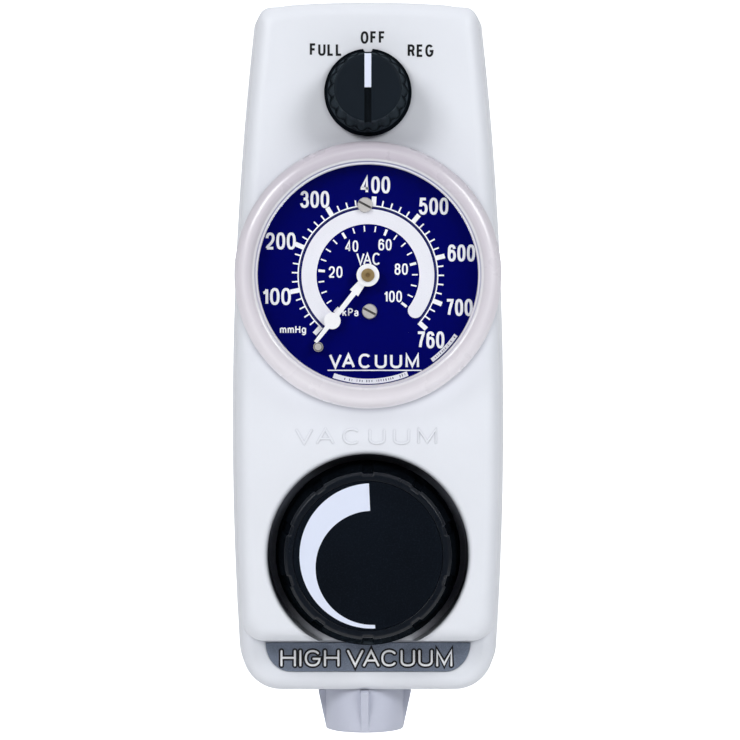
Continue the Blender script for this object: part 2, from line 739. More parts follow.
def lower_solid():
    """Full outline behind the step, with a rounded edge only around the lower panel."""
    slices = []
    for i in range(11):
        angle = math.pi / 2 * i / 10
        depth = STEP + LOWER_EDGE * (1 - math.cos(angle))
        rounding = LOWER_EDGE * (1 - math.sin(angle))
        slices.append((depth, inset(full_outline(depth),
                                    lambda z: rounding * ease((-99.5 - z) / 5.5))))
    slices.append((SPLIT - 0.45, full_outline(SPLIT - 0.45)))
    slices.append((SPLIT - 0.1, split_outline(0.10)))
    slices.append((SPLIT, split_outline(0.40, sharpen=0.3)))
    return loft(slices)


def upper_hollow():
    end = STEP + WALL + 0.3
    return loft([(depth, outline(depth * TAPER - WALL - 0.1, bottom, 3.2, 2.0, COARSE))
                 for depth, bottom in ((WALL, STEP_Z + WALL), (end, STEP_Z + WALL - 1.0))])


def lower_hollow():
    ends = ((STEP + WALL, BOTTOM_Z + WALL), (SPLIT + 2, BOTTOM_Z + WALL - 1.9))
    return loft([(depth, outline(depth * TAPER - WALL, bottom, 6.8, 2.0, COARSE))
                 for depth, bottom in ends])


def flared_cutter(r, y_end, z, flare):
    """Cylinder whose mouth flares, so that the cut leaves a rounded lip."""
    profile = [(0, y_end), (r, y_end)]
    for i in range(9):
        t = math.radians(80 * i / 8)
        profile.append((r + flare - flare * math.cos(t), FRONT + flare - flare * math.sin(t)))
    t = math.radians(80)
    mouth_r, mouth_y = profile[-1]
    mouth_r += 3.0 * math.sin(t)
    profile += [(mouth_r, mouth_y - 3.0 * math.cos(t)), (mouth_r, FRONT - 6), (0, FRONT - 6)]
    return solid(*spin(profile, 0, z, 160))


def label_cutter(margin=0.1, steps=18):
    """Label recess: a straight top edge, and lower corners of quarter ellipses."""
    half_top, half_bottom = 24.95 + margin, 18.9
    top, bottom = -106.6 + margin, -113.6 - margin
    across, down = half_top - half_bottom, top - bottom
    turns = [math.pi / 2 * i / steps for i in range(steps + 1)]
    left = [(-half_bottom - across * math.cos(a), top - down * math.sin(a)) for a in turns[1:]]
    right = [(half_bottom + across * math.cos(a), top - down * math.sin(a))
             for a in turns[:0:-1]]
    return prism([(-half_top, top)] + left + right + [(half_top, top)],
                 FRONT + STEP - 2, FRONT + STEP + 0.4)


def outlet_cutter():
    """Stepped vertical hole in the underside."""
    profile = [(0, 0), (10.0, 0), (10.0, 7.1), (7.3, 7.1), (7.3, 12), (0, 12)]
    verts, faces = spin(profile, steps=96)
    return solid([(OUTLET_X * MM + x, OUTLET_Y * MM + z, -0.125 + y) for x, y, z in verts],
                 faces)


def front_shell():
    shell = boolean(upper_solid(), [lower_solid()], "UNION")
    boolean(shell, [upper_hollow(), lower_hollow()], "DIFFERENCE")

    # the well's own wall and floor, and the screw bosses
    well = cylinder(WELL_R + 2.6, FRONT + 2.4, FRONT + 11.5, 0, KNOB_Z, 128)
    clip = prism([(-40, STEP_Z + 0.05), (40, STEP_Z + 0.05), (40, 0), (-40, 0)],
                 FRONT - 1, FRONT + 20)
    boolean(well, [clip], "INTERSECT")
    bosses = [cylinder(3.6, FRONT + face + 1.3, FRONT + SPLIT - 0.25, side * x, z, 40)
              for side in (-1, 1) for x, z, face in CASE_SCREWS]
    boolean(shell, [well] + bosses, "UNION")

    cutters = [
        flared_cutter(WELL_R, FRONT + 9.5, KNOB_Z, flare=1.25),
        flared_cutter(28.0, FRONT + 12, GAUGE_Z, flare=0.3),
        cylinder(6.5, FRONT - 3, FRONT + 8, 0, SELECTOR_Z, 64),
        cylinder(6.0, FRONT - 3, FRONT + 13, 0, KNOB_Z, 64),
        label_cutter(),
        outlet_cutter(),
    ]
    cutters += [cylinder(1.6, FRONT + 17, FRONT + SPLIT + 1, side * x, z, 32)
                for side in (-1, 1) for x, z, _ in CASE_SCREWS]
    boolean(shell, cutters, "DIFFERENCE")
    shell.name = shell.data.name = "housing_shell"
    finish(shell, "housing_plastic", "root", 30.0)
    weight_normals(shell)
    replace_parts(shell, "front_housing")


def counterbore(r, r_head, x, z):
    """Screw hole with a rounded counterbore mouth on the back face."""
    lip, floor = 0.35, BACK - 2.9
    profile = [(0, FRONT + SPLIT - 3), (r, FRONT + SPLIT - 3), (r, floor), (r_head, floor)]
    for i in range(6):
        t = math.radians(78 * i / 5)
        profile.append((r_head + lip - lip * math.cos(t), BACK - lip + lip * math.sin(t)))
    mouth_r, mouth_y = profile[-1]
    mouth_r += 0.6
    profile += [(mouth_r, mouth_y + 0.13), (mouth_r, BACK + 3), (0, BACK + 3)]
    return solid(*spin(profile, x, z, 64))


def back_shell():
    slices = [(SPLIT, split_outline(0.40, sharpen=0.3)), (SPLIT + 0.1, split_outline(0.10)),
              (SPLIT + 0.4, split_outline(0.0))]
    edge = 2.5                                      # rounding of the rear edge
    for i in range(9):
        angle = math.pi / 2 * i / 8
        grow = SPLIT * TAPER - edge * (1 - math.cos(angle))
        slices.append((COVER_BACK - edge + edge * math.sin(angle),
                       cover_outline(grow, BOTTOM_R_SPLIT, TOP_R_SPLIT)))
    cover = loft(slices)

    lip = cover_outline(SPLIT * TAPER - WALL - 0.25, 6.6, 2.0, MEDIUM)
    boolean(cover, [loft([(SPLIT - 1.6, lip), (SPLIT + 1.5, lip)])], "UNION")
    hollow = cover_outline(SPLIT * TAPER - WALL - 1.6, 5.2, 1.5, MEDIUM)
    boolean(cover, [loft([(SPLIT - 3, hollow), (COVER_BACK - WALL, hollow)])], "DIFFERENCE")

    case_holes = [(side * x, z) for x, z, _ in CASE_SCREWS for side in (-1, 1)]
    fixing_x = (FIXING_HI[0] - FIXING_LO[0]) / 2 - 3.3
    fixing_holes = [(side * fixing_x, z) for side in (-1, 1) for z in (14.0, -40.0)]
    boolean(cover, [cylinder(4.6, FRONT + SPLIT + 0.05, FRONT + COVER_BACK - 1, x, z, 48)
                    for x, z in case_holes + fixing_holes], "UNION")
    cutters = [counterbore(1.9, 3.6, x, z) for x, z in case_holes]
    cutters += [counterbore(2.2, 3.6, x, z) for x, z in fixing_holes]
    cutters.append(counterbore(9.5, 9.5, 0, 0))
    boolean(cover, cutters, "DIFFERENCE")
    cover.name = cover.data.name = "rear_cover_shell"
    finish(cover, "housing_plastic", "root", 30.0)
    weight_normals(cover)
    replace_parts(cover, "back_cover")


# ---------------------------------------------------------------- gauge cover


def gauge_cover():
    """Domed window with a rolled rim; the profile's y is measured from the front face."""
    roll_r = 28.9
    profile = []
    for i in range(25):                             # outer dome
        r = 25.9 * i / 24
        profile.append((r, -9.4 + 1.0 * (r / 26) ** 2))
    profile += [(26.15, -8.36), (26.35, -8.15), (26.5, -7.95), (26.7, -7.95), (26.9, -8.2),
                (27.15, -8.45), (27.6, -8.6), (roll_r, -8.6)]
    for i in range(1, 15):                          # rolled outer edge
        a = math.pi / 2 * i / 14
        profile.append((roll_r + (LENS_R - roll_r) * math.sin(a), -5.4 - 3.2 * math.cos(a)))
    profile += [(LENS_R, -1.0), (LENS_R - 0.1, -0.65), (LENS_R - 0.4, -0.4), (27.75, -0.4),
                (27.75, -4.2), (26.6, -4.2), (26.35, -4.5), (26.3, -6.3)]
    for i in range(13):                             # inner dome
        r = 26.0 * (1 - i / 12)
        profile.append((r, -6.7 - 0.8 * (1 - (r / 26.0) ** 2)))
    lens = turned("gauge_cover", [(r, FRONT + y) for r, y in profile], GAUGE_Z, "lens_cover",
                  "root", steps=256, angle=50)
    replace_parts(lens, "gauge_lens")


# ---------------------------------------------------------------- flat print and lettering


class Flat:
    """Thin plates standing forwards from the plane at y.

    Angles are in degrees about the gauge's axis, clockwise from straight down.
    """

    def __init__(self, y, thick):
        self.y, self.thick = y, thick
        self.verts, self.faces = [], []

    def strip(self, outer, inner, thick=None):
        """Band between two open lists of (x, z) with equal counts."""
        front = self.y - (self.thick if thick is None else thick)
        n = len(outer)
        o1 = len(self.verts)
        i1, o2, i2 = o1 + n, o1 + 2 * n, o1 + 3 * n
        for pts, y in ((outer, front), (inner, front), (outer, self.y), (inner, self.y)):
            self.verts += [(x * MM, y * MM, z * MM) for x, z in pts]
        for k in range(n - 1):
            self.faces += [(o1 + k, i1 + k, i1 + k + 1, o1 + k + 1),
                           (o2 + k, o2 + k + 1, i2 + k + 1, i2 + k),
                           (o1 + k, o1 + k + 1, o2 + k + 1, o2 + k),
                           (i1 + k, i2 + k, i2 + k + 1, i1 + k + 1)]
        self.faces += [(o1, o2, i2, i1), (o1 + n - 1, i1 + n - 1, i2 + n - 1, o2 + n - 1)]

    def arc(self, r0, r1, start, end, steps, thick=None):
        angles = [math.radians(start + (end - start) * i / steps) for i in range(steps + 1)]
        outer, inner = ([(-r * math.sin(a), GAUGE_Z - r * math.cos(a)) for a in angles]
                        for r in (r1, r0))
        self.strip(outer, inner, thick)

    def tick(self, r0, r1, angle, width, thick=None):
        a = math.radians(angle)
        out_x, out_z = -math.sin(a), -math.cos(a)
        outer, inner = ([(r * out_x - side * width / 2 * out_z,
                          GAUGE_Z + r * out_z + side * width / 2 * out_x) for side in (-1, 1)]
                        for r in (r1, r0))
        self.strip(outer, inner, thick)

    def build(self, name, material, body, slot, angle=35.0, smooth=False):
        obj = link_mesh(name, self.verts, self.faces)
        obj.data.validate()
        return finish(obj, material, body, angle, smooth)


def bow(cx, cz, rx, rz, start, end, steps=14, power=2.0):
    """Arc of a superellipse, in degrees anticlockwise from the right."""
    out = []
    for i in range(steps + 1):
        a = math.radians(start + (end - start) * i / steps)
        c, s = math.cos(a), math.sin(a)
        out.append((cx + rx * math.copysign(abs(c) ** (2 / power), c),
                    cz + rz * math.copysign(abs(s) ** (2 / power), s)))
    return out


# each letter: relative width, and its centre lines in a unit box
LETTERS = {
    "0": (0.52, [bow(0.5, 0.5, 0.5, 0.5, 90, 450, 40, 2.5)]),
    "1": (0.27, [[(0.0, 0.74), (0.42, 0.775), (0.80, 0.87), (0.98, 1.0)],
                 [(0.98, 1.0), (0.98, 0.0)]]),
    "2": (0.52, [bow(0.5, 0.72, 0.49, 0.28, 184, 0, 18, 2.2)
                 + [(0.96, 0.60), (0.84, 0.47), (0.60, 0.33), (0.25, 0.17), (0.06, 0.07),
                    (0.0, 0.0)],
                 [(-0.03, 0.0), (1.0, 0.0)]]),
    "3": (0.52, [bow(0.48, 0.755, 0.44, 0.245, 172, -55, 18, 2.2)
                 + [(0.50, 0.53), (0.34, 0.53)],
                 [(0.34, 0.53), (0.52, 0.53)] + bow(0.49, 0.27, 0.51, 0.27, 72, -174, 20, 2.2)]),
    "4": (0.54, [[(0.76, 0.0), (0.76, 1.0), (0.0, 0.30), (0.0, 0.26), (1.02, 0.26)]]),
    "5": (0.52, [[(0.93, 1.0), (0.17, 1.0), (0.06, 0.48)],
                 bow(0.48, 0.325, 0.51, 0.325, 146, -168, 24, 2.2)]),
    "6": (0.52, [bow(0.5, 0.74, 0.46, 0.26, 8, 180, 14, 2.2) + [(0.0, 0.50), (0.0, 0.32)],
                 bow(0.5, 0.315, 0.5, 0.315, 180, 540, 28, 2.25)]),
    "7": (0.51, [[(0.0, 1.0), (1.0, 1.0), (0.98, 0.92), (0.74, 0.64), (0.52, 0.34),
                  (0.40, 0.0)]]),
    "8": (0.52, [bow(0.5, 0.77, 0.43, 0.23, 270, 630, 26, 2.2),
                 bow(0.5, 0.27, 0.5, 0.27, 90, 450, 28, 2.2)]),
    "A": (0.62, [[(0.0, 0.0), (0.5, 1.0), (1.0, 0.0)], [(0.19, 0.34), (0.81, 0.34)]]),
    "C": (0.60, [bow(0.5, 0.5, 0.5, 0.5, 42, 318, 34, 2.25)]),
    "E": (0.46, [[(1.0, 1.0), (0.0, 1.0), (0.0, 0.0), (1.0, 0.0)], [(0.0, 0.52), (0.9, 0.52)]]),
    "F": (0.44, [[(1.0, 1.0), (0.0, 1.0), (0.0, 0.0)], [(0.0, 0.52), (0.88, 0.52)]]),
    "G": (0.62, [bow(0.5, 0.5, 0.5, 0.5, 42, 345, 36, 2.25) + [(1.0, 0.46), (0.56, 0.46)]]),
    "H": (0.54, [[(0.0, 0.0), (0.0, 1.0)], [(1.0, 0.0), (1.0, 1.0)],
                 [(0.0, 0.53), (1.0, 0.53)]]),
    "I": (0.0, [[(0.0, 0.0), (0.0, 1.0)]]),
    "L": (0.44, [[(0.0, 1.0), (0.0, 0.0), (1.0, 0.0)]]),
    "M": (0.64, [[(0.0, 0.0), (0.0, 1.0), (0.5, 0.10), (1.0, 1.0), (1.0, 0.0)]]),
    "O": (0.56, [bow(0.5, 0.5, 0.5, 0.5, 90, 450, 40, 2.35)]),
    "P": (0.48, [[(0.0, 0.0), (0.0, 1.0), (0.55, 1.0)] + bow(0.55, 0.74, 0.45, 0.26, 80, -80)
                 + [(0.55, 0.48), (0.0, 0.48)]]),
    "R": (0.50, [[(0.0, 0.0), (0.0, 1.0), (0.55, 1.0)] + bow(0.55, 0.75, 0.42, 0.25, 80, -80)
                 + [(0.55, 0.50), (0.0, 0.50)],
                 [(0.50, 0.50), (0.72, 0.42), (1.0, 0.0)]]),
    "U": (0.54, [[(0.0, 1.0)] + bow(0.5, 0.30, 0.5, 0.30, 180, 360, 18, 2.2) + [(1.0, 1.0)]]),
    "V": (0.60, [[(0.0, 1.0), (0.5, 0.0), (1.0, 1.0)]]),
    "a": (0.42, [[(0.06, 0.56)] + bow(0.48, 0.50, 0.44, 0.22, 150, 10, 12)
                 + [(0.93, 0.42), (0.93, 0.0)],
                 bow(0.46, 0.20, 0.46, 0.20, 40, 330, 20)]),
    "g": (0.44, [bow(0.5, 0.37, 0.5, 0.35, 0, 360, 24),
                 [(1.0, 0.72), (1.0, -0.02)] + bow(0.5, -0.04, 0.5, 0.22, 0, -160)]),
    "k": (0.42, [[(0.0, 0.0), (0.0, 1.0)], [(0.92, 0.70), (0.0, 0.27)],
                 [(0.34, 0.43), (1.0, 0.0)]]),
    "m": (0.72, [[(0.0, 0.0), (0.0, 0.72)],
                 bow(0.25, 0.45, 0.25, 0.26, 180, 0, 12) + [(0.5, 0.0)],
                 bow(0.75, 0.45, 0.25, 0.26, 180, 0, 12) + [(1.0, 0.0)]]),
}


def stroke(flat, points, width, thick, round_caps=False):
    """Band along a line of points, with mitred joins."""
    line = [np.array(points[0], float)]
    for point in points[1:]:
        point = np.array(point, float)
        if np.linalg.norm(point - line[-1]) > 1e-4:
            line.append(point)
    closed = len(line) > 3 and np.linalg.norm(line[0] - line[-1]) < 1e-3
    if closed:
        line = line[:-1]
    n = len(line)
    left, right = [], []
    for i in range(n):
        before = line[i] - line[i - 1] if (i > 0 or closed) else line[1] - line[0]
        after = line[(i + 1) % n] - line[i] if (i < n - 1 or closed) else line[-1] - line[-2]
        before, after = before / np.linalg.norm(before), after / np.linalg.norm(after)
        normal = np.array([-before[1], before[0]])
        mitre = normal + np.array([-after[1], after[0]])
        mitre /= max(np.linalg.norm(mitre), 1e-6)
        reach = 1.0 / max(0.42, float(mitre @ normal))      # limits long mitres
        left.append(tuple(line[i] + mitre * reach * width / 2))
        right.append(tuple(line[i] - mitre * reach * width / 2))
    if closed:
        left.append(left[0])
        right.append(right[0])
    flat.strip(left, right, thick)
    if not round_caps or closed:
        return
    for end, ahead in ((line[0], line[0] - line[1]), (line[-1], line[-1] - line[-2])):
        ahead = ahead / np.linalg.norm(ahead)
        across = np.array([-ahead[1], ahead[0]])
        halves = [[tuple(end + width / 2 * (side * math.cos(a) * across + math.sin(a) * ahead))
                   for a in (math.pi / 2 * k / 6 for k in range(7))] for side in (1, -1)]
        flat.strip(*halves, thick)


def put_text(flat, text, x, z, width, height, line, gap):
    """Lettering centred on (x, z); width and height are over strokes that are line wide."""
    kern = 0.20                                     # tucks A under V
    units = sum(LETTERS[ch][0] for ch in text) + (len(text) - 1) * gap
    if "VA" in text:
        units -= kern
    unit = (width - len(text) * line) / units
    left, previous = x - width / 2, ""
    for ch in text:
        relative, lines = LETTERS[ch]
        if previous + ch == "VA":
            left -= kern * unit
        for i, points in enumerate(lines):
            placed = [(left + line / 2 + px * relative * unit,
                       z - height / 2 + line / 2 + pz * (height - line)) for px, pz in points]
            stroke(flat, placed, line, flat.thick + 0.006 * i)
        left += relative * unit + line + gap * unit
        previous = ch


def view_scale(y):
    """Size at y of what covers one unit of the front face as the camera sees it."""
    return (VIEW_DISTANCE + y - FRONT) / VIEW_DISTANCE


def carried(x, z, y):
    """A place on the front face, carried along the camera's sight line to the plane at y."""
    k = view_scale(y)
    return VIEW_X + (x - VIEW_X) * k, VIEW_Z + (z - VIEW_Z) * k


# text, x, z, width
LEGENDS = (("FULL", -10.0473, 36.8038, 7.76606), ("OFF", 1.21914, 39.7044, 5.89645),
           ("REG", 12.6294, 36.5402, 6.18408))


def housing_words():
    legends = Flat(FRONT, 0.04)
    for text, x, z, width in LEGENDS:
        put_text(legends, text, x, z, width, height=3.0, line=0.54, gap=0.20)
    legends.build("legend_text", "print_black", "root", "control_black")

    # raised word between the gauge and the knob
    raised = Flat(FRONT + 0.02, 0.20)
    put_text(raised, "VACUUM", -0.45885, -55.9409, width=34.0, height=3.9, line=0.50, gap=0.30)
    word = raised.build("raised_word", "housing_plastic", "root", "housing_white",
                        angle=40, smooth=True)
    bevel(word, 0.09)


# ---------------------------------------------------------------- dial print
PRINT = 0.035                                       # thickness of the dial's print


def dial_angle(mmhg):
    return 42.5 + 270.0 * mmhg / 760.0


BAND_START, BAND_END = dial_angle(0) - 3, 360 - 53.6

# Places on the dial are given on the front face; see carried().
# (height, line width, letter gap) and its rows of (text, x, z, width)
DIAL_TEXTS = (
    ((4.1, 0.66, 0.13), (
        ("100", -21.9371, -22.3811, 6.9), ("200", -20.9063, -9.0771, 7.2),
        ("300", -12.7561, 0.8949, 6.95), ("400", 1.7944, 4.3708, 7.05),
        ("500", 15.7457, -0.7351, 7.05), ("600", 22.4097, -11.9537, 6.55),
        ("700", 21.8584, -25.0180, 6.5), ("760", 15.0026, -32.7847, 6.65))),
    ((2.75, 0.40, 0.16), (
        ("20", -7.7461, -16.5082, 3.3), ("40", -3.8867, -10.2996, 3.15),
        ("60", 4.0957, -9.9640, 3.2), ("80", 7.9790, -15.8130, 3.2),
        ("100", 5.9894, -22.3811, 4.35))),
    ((2.95, 0.42, 0.06), (("VAC", 0.1404, -13.3680, 5.85),)),
    ((1.9, 0.32, 0.16), (("mmHg", -17.9579, -30.2917, 6.25),)),
    ((1.95, 0.32, 0.16), (("kPa", -4.1744, -26.1686, 3.9),)),
    ((3.5, 0.60, 0.19), (("VACUUM", 1.4588, -37.8426, 21.6),)),
)
RULE_X0, RULE_X1, RULE_Z = -9.6878, 12.8452, -40.0719      # rule below the word


def dial_ticks():
    ticks = Flat(DIAL_Y, PRINT)
    for mmhg in range(0, 761, 20):
        if mmhg % 100 and mmhg != 760:
            ticks.tick(16.6, 18.2, dial_angle(mmhg), width=0.36)
    for mmhg in list(range(0, 701, 100)) + [760]:
        ticks.tick(16.6, 18.95, dial_angle(mmhg), width=1.12, thick=PRINT * 1.2)
    ticks.arc(16.55, 16.85, dial_angle(0), dial_angle(760), steps=160, thick=PRINT * 0.9)
    ticks.build("dial_ticks_mmhg", "print_white", "root", "pointer_white")

    ticks = Flat(DIAL_Y, PRINT)
    for kpa in range(0, 101, 5):
        inner, width = (10.35, 0.62) if kpa % 20 == 0 else (10.55, 0.34)
        ticks.tick(inner, 11.9, dial_angle(kpa * 7.50062), width)
    ticks.build("dial_ticks_kpa", "print_white", "root", "pointer_white")


def dial_band():
    """Grey band with a rounded end, and the fine line outside it."""
    inner, outer = 12.3, 15.9
    band = Flat(DIAL_Y, PRINT)
    band.arc(inner, outer, BAND_START, BAND_END, steps=160)
    middle_r, end_r = (inner + outer) / 2, (outer - inner) / 2
    end = math.radians(BAND_END)
    out_x, out_z = -math.sin(end), -math.cos(end)
    ahead_x, ahead_z = -math.cos(end), math.sin(end)
    x, z = middle_r * out_x, GAUGE_Z + middle_r * out_z
    turns = [math.pi / 2 * i / 12 for i in range(13)]
    halves = [[(x + end_r * (side * math.cos(t) * out_x + math.sin(t) * ahead_x),
                z + end_r * (side * math.cos(t) * out_z + math.sin(t) * ahead_z))
               for t in turns] for side in (1, -1)]
    band.strip(*halves)
    band.build("dial_band", "print_grey", "root", "pointer_white")

    line = Flat(DIAL_Y, PRINT * 0.8)
    line.arc(16.22, 16.42, BAND_START, BAND_END + 4, steps=160)
    line.build("dial_fine_line", "print_line", "root", "dial_navy")


def dial_words():
    words = Flat(DIAL_Y, PRINT)
    for (height, line, gap), rows in DIAL_TEXTS:
        for text, x, z, width in rows:
            put_text(words, text, *carried(x, z, DIAL_Y), width, height, line, gap)
    x0, z = carried(RULE_X0, RULE_Z, DIAL_Y)
    x1, _ = carried(RULE_X1, RULE_Z, DIAL_Y)
    half = 0.14
    words.strip([(x0, z + half), (x1, z + half)], [(x0, z - half), (x1, z - half)])
    words.build("dial_numbers", "print_white", "root", "pointer_white")


def dial_edge():
    """Two pale strips low on the dial's edge, covered with uneven fine marks."""
    strips = Flat(DIAL_Y, PRINT)
    strips.arc(24.7, 25.9, 19.0, -22.0, steps=48)
    strips.arc(24.9, 25.9, -37.0, -56.0, steps=24)
    strips.build("dial_edge_strips", "print_grey", "root", "pointer_white")

    marks = Flat(DIAL_Y - PRINT, 0.012)
    rng = np.random.RandomState(7)
    # start angle, end angle, inner radius, outer radius
    for angle, end, r0, r1 in ((-20.5, 17.5, 24.95, 25.6), (-54.5, -38.5, 25.15, 25.65)):
        while angle < end:
            width = float(rng.uniform(0.10, 0.26))
            if rng.rand() > 0.22:
                inner = r0 + float(rng.uniform(0, 0.12))
                outer = r1 - float(rng.uniform(0, 0.18))
                marks.tick(inner, outer, angle, width)
            angle += float(rng.uniform(0.85, 1.35)) + math.degrees(width / 25.3) * 0.5
    marks.build("dial_edge_marks", "print_line", "root", "dial_navy")


# ---------------------------------------------------------------- label
LABEL_WORD = "HIGH VACUUM"
LABEL_X, LABEL_Z = -0.3630, -109.0851               # on the front face; see carried()
LABEL_WIDTH = 41.2305                               # on the front face; see view_scale()
LABEL_HEIGHT = 4.0
# relative letter widths, and gaps relative to the usual one
LABEL_LETTERS = {"H": 3.0, "I": 0.0, "G": 3.05, "V": 3.2, "A": 3.2, "C": 3.1, "U": 2.75,
                 "M": 3.15, " ": 0.0}
LABEL_KERNING = {"VA": 0.30, "AC": 0.72}


def label_gap(pair):
    return 2.15 / 2 if " " in pair else 1.22 * LABEL_KERNING.get(pair, 1.0)


def label_word():
    """White lettering over a wider black edge, both with round ends."""
    line = 0.5
    x, z = carried(LABEL_X, LABEL_Z, LABEL_Y)
    width = LABEL_WIDTH * view_scale(FRONT + STEP)
    units = (sum(LABEL_LETTERS[ch] for ch in LABEL_WORD)
             + sum(label_gap(a + b) for a, b in zip(LABEL_WORD, LABEL_WORD[1:])) + line)
    unit = width / units
    for name, material, slot, band, thick in (
            ("label_text_edge", "print_black", "control_black", 1.36, 0.03),
            ("label_text", "print_white", "pointer_white", line, 0.07)):
        flat = Flat(LABEL_Y, thick)
        left = x - width / 2 + line / 2 * unit
        for ch, following in zip(LABEL_WORD, LABEL_WORD[1:] + " "):
            letter = LABEL_LETTERS[ch] * unit
            for i, points in enumerate(LETTERS[ch][1] if ch != " " else ()):
                placed = [(left + px * letter, z - LABEL_HEIGHT / 2 + line / 2
                           + pz * (LABEL_HEIGHT - line)) for px, pz in points]
                stroke(flat, placed, band, thick + 0.005 * i, round_caps=True)
            left += letter + label_gap(ch + following) * unit
        flat.build(name, material, "root", slot)


# ---------------------------------------------------------------- regulator knob
KNOB_FRONT, KNOB_BACK = KNOB_LO[1], KNOB_HI[1]
KNOB_GROOVES = 10


def knob_groove(r, y, angle):
    """Grooves down the gripped cone, fading out towards the back."""
    if r < 19.0 or y > KNOB_FRONT + 9.9:
        return r
    turn = (angle * KNOB_GROOVES / (2 * math.pi)) % 1.0
    arc = min(turn, 1 - turn) * 2 * math.pi / KNOB_GROOVES * r      # to the groove's centre
    depth = 0.46 * ease((KNOB_FRONT + 9.9 - y) / 1.1)
    return r - depth * (1.0 - ease((arc - 1.12) / 0.34))


def regulator_knob():
    front, back = KNOB_FRONT, KNOB_BACK
    profile = rounded([                             # r, y, fillet
        (17.92, front + 0.8, 0.05), (17.92, front + 0.02, 0.12), (19.30, front, 0.30),
        (19.98, front + 0.62, 0.25), (20.10, front + 1.3, 0.3), (21.60, front + 8.1, 0.8),
        (KNOB_R - 0.25, front + 9.6, 0.5), (KNOB_R, front + 10.5, 0.4),
        (KNOB_R, back - 0.35, 0.2), (KNOB_R - 0.4, back, 0.2), (20.2, back, 0.3),
        (19.4, back - 4, 0.8), (18.0, back - 9.4, 0.8), (7.2, back - 9.4, 0.3),
        (6.6, back, 0.3), (4.1, back, 0.2), (4.1, back - 10.8, 0), (0, back - 10.8, 0),
        (0, front + 0.8, 0)])
    # more rows along the gripped cone, so that the grooves end softly
    profile = densify(profile, r_min=19.0, longest=0.5, step=0.45,
                      where=lambda y: y < back - 0.2)
    knob = turned("regulator_knob_shell", profile, KNOB_Z, "control_black", "reg_knob",
                  steps=900, radial=knob_groove, angle=40)
    knob.data.materials.append(MATERIALS["control_black_flank"])
    for poly in knob.data.polygons:                 # duller flank below the front ridge
        centre = poly.center
        radius = math.hypot(centre.x, centre.z - KNOB_Z * MM)
        if radius > 19.6 * MM and centre.y > (front + 1.0) * MM:
            poly.material_index = 1
    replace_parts(knob, "regulator_knob")


def knob_insert():
    front = KNOB_FRONT
    profile = rounded([                             # r, y, fillet
        (0, front + 0.78, 0), (17.82, front + 0.78, 0), (17.82, front - 0.02, 0.1),
        (17.60, front - 0.1, 0.15), (0, front - 0.1, 0)], steps=3)
    insert = turned("regulator_knob_insert", profile, KNOB_Z, "insert_black", "reg_knob")
    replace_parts(insert, "knob_insert")


def knob_crescent():
    """Crescent on the left, between a circle and a smaller, lower one, slightly tilted."""
    tilt, steps = math.radians(2.5), 96

    def edge(radius, drop):
        pts = []
        for i in range(steps + 1):
            a = math.pi * i / steps
            x, z = -radius * math.sin(a), radius * math.cos(a) - drop
            pts.append((1.0 + x * math.cos(tilt) - z * math.sin(tilt),
                        KNOB_Z + x * math.sin(tilt) + z * math.cos(tilt)))
        return pts

    crescent = Flat(KNOB_FRONT - 0.08, 0.06)
    crescent.strip(edge(17.3, 0.0), edge(13.6, 2.85))
    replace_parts(crescent.build("crescent_print", "mark_white", "reg_knob", "mark_white",
                               angle=30, smooth=True), "crescent_mark")


# ---------------------------------------------------------------- selector knob
SELECTOR_FRONT, SELECTOR_BACK = SELECTOR_LO[1], SELECTOR_HI[1]
SELECTOR_FLUTES = 18


def selector_flute(r, y, angle):
    """Flutes between the face and the skirt, fading out at both ends."""
    depth_in = y - SELECTOR_FRONT
    if r < 7.6 or depth_in > 9.3:
        return r
    crest = abs(math.sin(angle * SELECTOR_FLUTES / 2)) ** 1.6
    depth = 0.40 * ease((depth_in - 0.10) / 0.9) * ease((9.3 - depth_in) / 1.6)
    return r - depth * (1 - crest) ** 1.3


def selector_knob():
    front, back = SELECTOR_FRONT, SELECTOR_BACK
    profile = rounded([                             # r, y, fillet
        (0, front, 0), (7.45, front, 0.15), (7.95, front + 0.16, 0.25),
        (8.28, front + 0.75, 0.35), (9.55, front + 8.6, 0.5), (9.85, front + 9.5, 0.3),
        (SELECTOR_R - 0.1, front + 9.8, 0.2), (SELECTOR_R, front + 10.2, 0.25),
        (SELECTOR_R, back - 0.35, 0.2), (SELECTOR_R - 0.4, back, 0.2), (6.2, back, 0.15),
        (6.2, front + 3.5, 0.2), (5.2, front + 3.5, 0.2), (5.2, back, 0.1),
        (3.05, back, 0.1), (3.05, front + 2.6, 0), (0, front + 2.6, 0)])
    profile = densify(profile, r_min=7.4, longest=0.4, step=0.3,
                      where=lambda y: y < back - 0.3)
    knob = turned("selector_knob_shell", profile, SELECTOR_Z, "control_black_satin",
                  steps=720, radial=selector_flute, angle=40)

    # groove across the face, and a notch in the skirt at the top
    low, high, rim = SELECTOR_Z - 12, SELECTOR_Z + 12, SELECTOR_Z + SELECTOR_R
    groove = prism([(-0.82, low), (0.82, low), (0.82, high), (-0.82, high)],
                   front - 1, front + 0.8)
    notch = prism([(-1.5, rim + 0.6), (-0.72, rim - 0.95), (0.72, rim - 0.95),
                   (1.5, rim + 0.6)], front - 1, back + 1)
    boolean(knob, [groove, notch], "DIFFERENCE")
    finish(knob, "control_black_satin", "selector", 32)
    knob.data.materials.append(MATERIALS["control_black_flutes"])
    knob.data.materials.append(MATERIALS["control_black_skirt"])
    for poly in knob.data.polygons:     # satin face, glossier flutes and groove, dull skirt
        y = poly.center.y
        if y > (front + 8.9) * MM:
            poly.material_index = 2
        elif not (poly.normal.y < -0.9 and y < (front + 0.3) * MM):
            poly.material_index = 1
    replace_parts(knob, "selector_knob")


